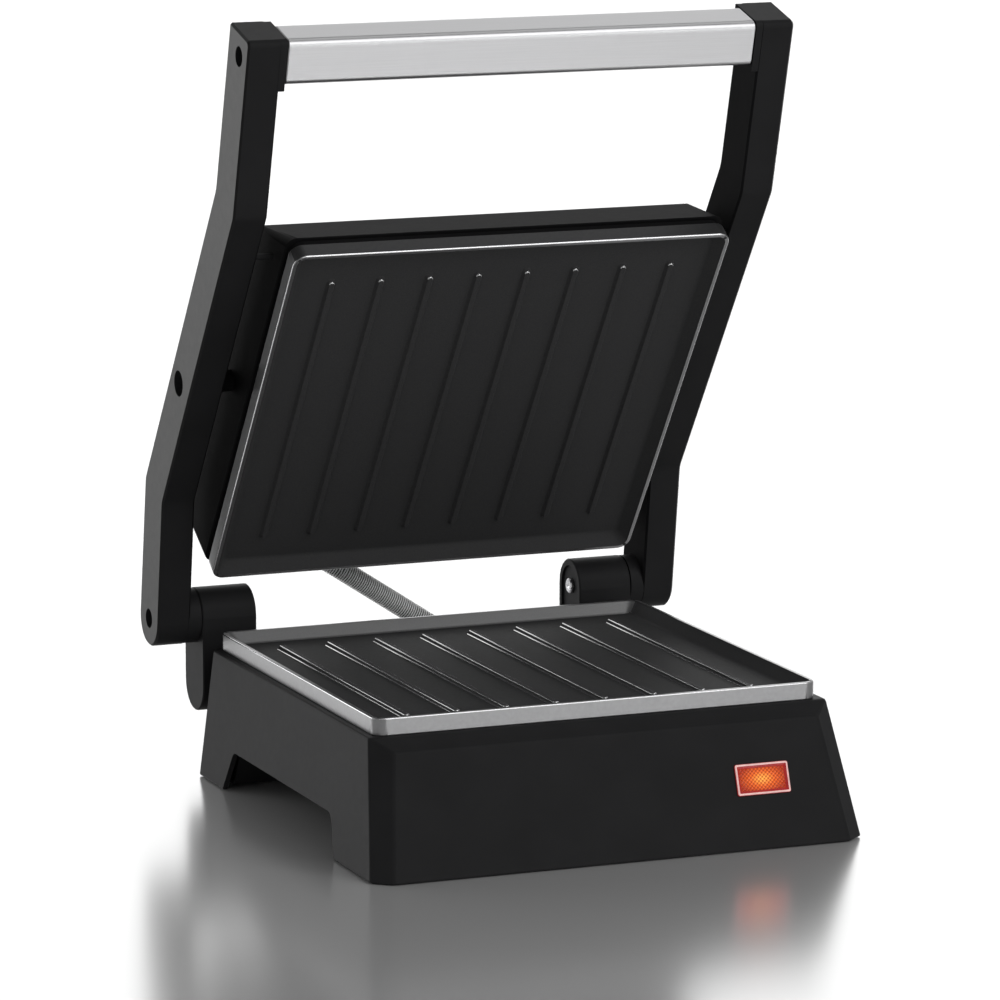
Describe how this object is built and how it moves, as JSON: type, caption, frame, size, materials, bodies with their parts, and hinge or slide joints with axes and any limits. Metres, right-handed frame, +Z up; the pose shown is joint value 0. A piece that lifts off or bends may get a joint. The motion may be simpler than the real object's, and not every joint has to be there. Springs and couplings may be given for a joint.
{
  "type": "panini press",
  "caption": "Contact grill that presses and toasts a sandwich between a fixed ribbed plate and a hinged, tilting one on two side arms with a bar handle.",
  "frame": {"origin": "on the table, below the middle of the press as it stands open in its rest pose", "axes": "+Z up, +X towards the press's right as the cook faces it, -Y towards the cook"},
  "size_m": [0.2848, 0.3005, 0.3918],
  "materials": {
    "black_housing": "fine matte texture, heat-resistant moulded plastic",
    "coated_plate": "die-cast, black non-stick coating inside, grey satin rim",
    "satin_aluminium": "satin anodised",
    "bright_steel": "bright zinc plate",
    "black_rubber": "matte",
    "amber_lens": "translucent red-amber, lit",
    "clear_glass": "clear",
    "white_nylon": "natural nylon",
    "white_ceramic": "matte",
    "reflector_sheet": "bright rolled sheet"
  },
  "bodies": {
    "base": {"base_shell": "black_housing", "bottom_cover": "black_housing", "foot_front_left": "black_rubber", "foot_front_right": "black_rubber", "foot_rear_left": "black_rubber", "foot_rear_right": "black_rubber", "bottom_screw_front_left": "bright_steel", "bottom_screw_front_right": "bright_steel", "bottom_screw_rear_left": "bright_steel", "bottom_screw_rear_right": "bright_steel", "lower_plate": "coated_plate", "lower_heater": "bright_steel", "lower_reflector": "reflector_sheet", "lower_thermal_fuse": "bright_steel", "thermostat": "white_ceramic", "terminal_block": "white_nylon", "cord_gland": "black_housing", "lamp_lens": "amber_lens", "lamp_body": "white_nylon", "neon_bulb": "clear_glass", "hinge_bracket_left": "black_housing", "hinge_bracket_right": "black_housing", "hinge_bolt_left": "bright_steel", "hinge_bolt_right": "bright_steel", "hinge_washer_left": "bright_steel", "hinge_washer_right": "bright_steel", "hinge_nut_left": "bright_steel", "hinge_nut_right": "bright_steel", "bracket_screw_left_low": "bright_steel", "bracket_screw_left_high": "bright_steel", "bracket_screw_right_low": "bright_steel", "bracket_screw_right_high": "bright_steel", "conduit_spring": "bright_steel", "conduit_ferrule_lower": "bright_steel"},
    "lid_frame": {"arm_left": "black_housing", "arm_right": "black_housing", "handle_tube": "satin_aluminium", "handle_plug_left": "white_nylon", "handle_plug_right": "white_nylon", "handle_screw_left": "bright_steel", "handle_screw_right": "bright_steel", "pivot_screw_left": "bright_steel", "pivot_screw_right": "bright_steel"},
    "upper_grill": {"upper_cover": "black_housing", "upper_frame": "black_housing", "upper_plate": "coated_plate", "upper_heater": "bright_steel", "upper_reflector": "reflector_sheet", "upper_thermal_fuse": "bright_steel", "conduit_ferrule_upper": "bright_steel", "grill_screw_front_left": "bright_steel", "grill_screw_front_right": "bright_steel", "grill_screw_rear_left": "bright_steel", "grill_screw_rear_right": "bright_steel"}
  },
  "joints": [
    {"name": "lid_hinge", "type": "hinge", "parent": "base", "child": "lid_frame", "pos_m": [0, 0.1344, 0.0766], "axis": [-1, 0, 0], "range_deg": [-54.57, 125], "deforming": ["conduit_spring"]},
    {"name": "plate_tilt", "type": "hinge", "parent": "lid_frame", "child": "upper_grill", "pos_m": [0, 0.08383, 0.20495], "axis": [-1, 0, 0], "range_deg": [-0.7, 0.7]}
  ]
}
